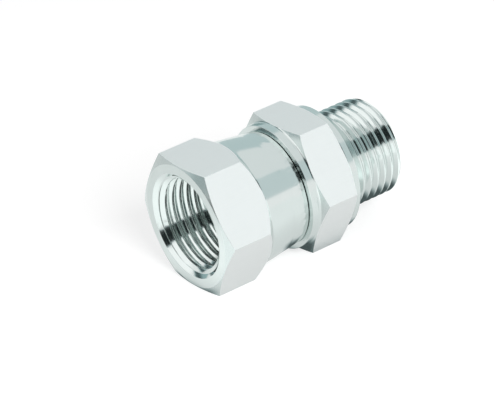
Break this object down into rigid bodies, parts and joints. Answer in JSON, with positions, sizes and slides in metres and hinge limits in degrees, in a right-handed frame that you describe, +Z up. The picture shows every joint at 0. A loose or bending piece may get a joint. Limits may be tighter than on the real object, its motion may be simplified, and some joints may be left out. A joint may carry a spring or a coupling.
{
  "type": "swivel connector",
  "caption": "In-line pipe swivel with a female hexagon port and a male threaded end that turn against each other on a row of balls.",
  "frame": {"origin": "on the flow axis, at the front of the female port's plain wall, where its mouth chamfer ends, 0.77 mm behind the front face", "axes": "+X along the flow axis from the female port to the male end, +Z up, square to the upper flats of both hexagons, +Y to the side along the hexagons' corners"},
  "size_m": [0.0482, 0.0312, 0.027],
  "materials": {
    "stainless": "satin",
    "ball_steel": "polished",
    "seal_rubber": "matte",
    "seal_plastic": "matte"
  },
  "bodies": {
    "female_half": {"female_body": "stainless", "thrust_washer": "seal_plastic"},
    "male_half": {"male_stem": "stainless", "stem_seal": "seal_rubber", "backup_ring": "seal_plastic", "dust_seal": "seal_rubber"},
    "ball_row": {"ball_01": "ball_steel", "ball_02": "ball_steel", "ball_03": "ball_steel", "ball_04": "ball_steel", "ball_05": "ball_steel", "ball_06": "ball_steel", "ball_07": "ball_steel", "ball_08": "ball_steel", "ball_09": "ball_steel", "ball_10": "ball_steel", "ball_11": "ball_steel", "ball_12": "ball_steel", "ball_13": "ball_steel", "ball_14": "ball_steel", "ball_15": "ball_steel", "ball_16": "ball_steel", "ball_17": "ball_steel", "ball_18": "ball_steel", "ball_19": "ball_steel", "ball_20": "ball_steel", "ball_21": "ball_steel", "ball_22": "ball_steel", "ball_23": "ball_steel", "ball_24": "ball_steel", "ball_25": "ball_steel", "ball_26": "ball_steel"}
  },
  "joints": [
    {"name": "swivel", "type": "hinge", "parent": "female_half", "child": "male_half", "pos_m": [0.01884, 0, 0], "axis": [1, 0, 0], "continuous": true},
    {"name": "ball_orbit", "type": "hinge", "parent": "female_half", "child": "ball_row", "pos_m": [0.01884, 0, 0], "axis": [1, 0, 0], "continuous": true}
  ],
  "couplings": [
    {"joint": "ball_orbit", "follows": "swivel", "ratio": 0.4404}
  ]
}
